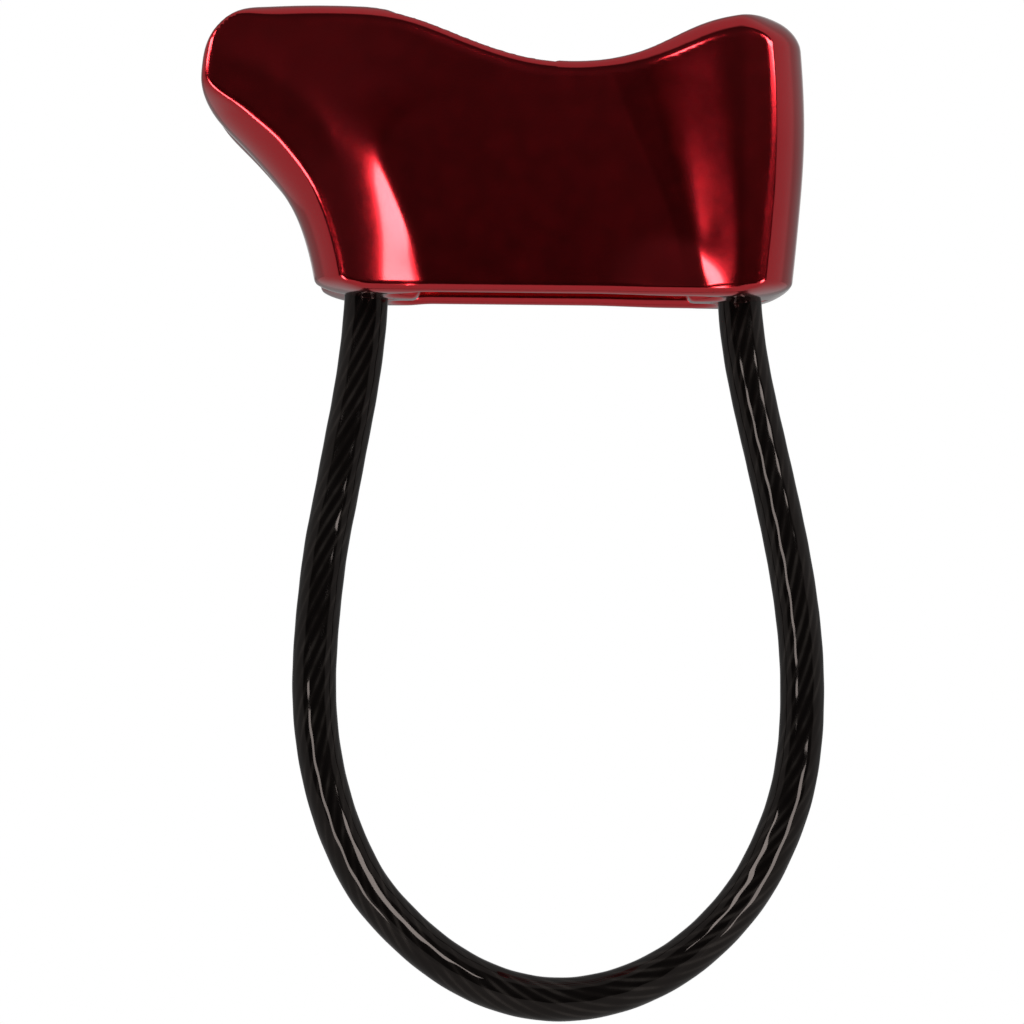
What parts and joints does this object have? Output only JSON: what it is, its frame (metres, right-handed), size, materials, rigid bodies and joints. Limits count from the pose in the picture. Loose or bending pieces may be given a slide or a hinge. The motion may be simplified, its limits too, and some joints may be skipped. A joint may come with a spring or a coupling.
{
  "type": "tube belay device",
  "caption": "Tube belay device: red anodised aluminium body with twin rope slots and grooved friction horn, and a black sheathed wire keeper loop.",
  "frame": {"origin": "on the plane of the underside's rims, midway between the two cable bores and at mid depth, where the locking carabiner's bar bears", "axes": "+X along the two rope slots, from the grooved horn at the brake end (-X) to the rounded end (+X); +Z from the underside towards the rope side; +Y across the two slots, into the rear rope slot"},
  "size_m": [0.0638, 0.036, 0.1021],
  "materials": {
    "red_anodised": "bright dipped and anodised, mirror gloss with fine grain",
    "ferrule_steel": "swaged stainless steel",
    "black_sheath": "glossy smoke-black extruded plastic, the strands showing faintly through",
    "strand_steel": "bright drawn wire"
  },
  "bodies": {
    "device_body": {"body": "red_anodised", "left_ferrule": "ferrule_steel", "right_ferrule": "ferrule_steel"},
    "keeper_loop": {"cable_sheath": "black_sheath", "core_strand": "strand_steel", "outer_strand_1": "strand_steel", "outer_strand_2": "strand_steel", "outer_strand_3": "strand_steel", "outer_strand_4": "strand_steel", "outer_strand_5": "strand_steel", "outer_strand_6": "strand_steel"}
  },
  "joints": [
    {"name": "keeper_flex", "type": "hinge", "parent": "device_body", "child": "keeper_loop", "pos_m": [0, 0, -0.018], "axis": [1, 0, 0], "range_deg": [-50, 50], "stiffness_Nm_per_rad": 0.6, "deforming": ["cable_sheath", "core_strand", "outer_strand_1", "outer_strand_2", "outer_strand_3", "outer_strand_4", "outer_strand_5", "outer_strand_6"]}
  ]
}
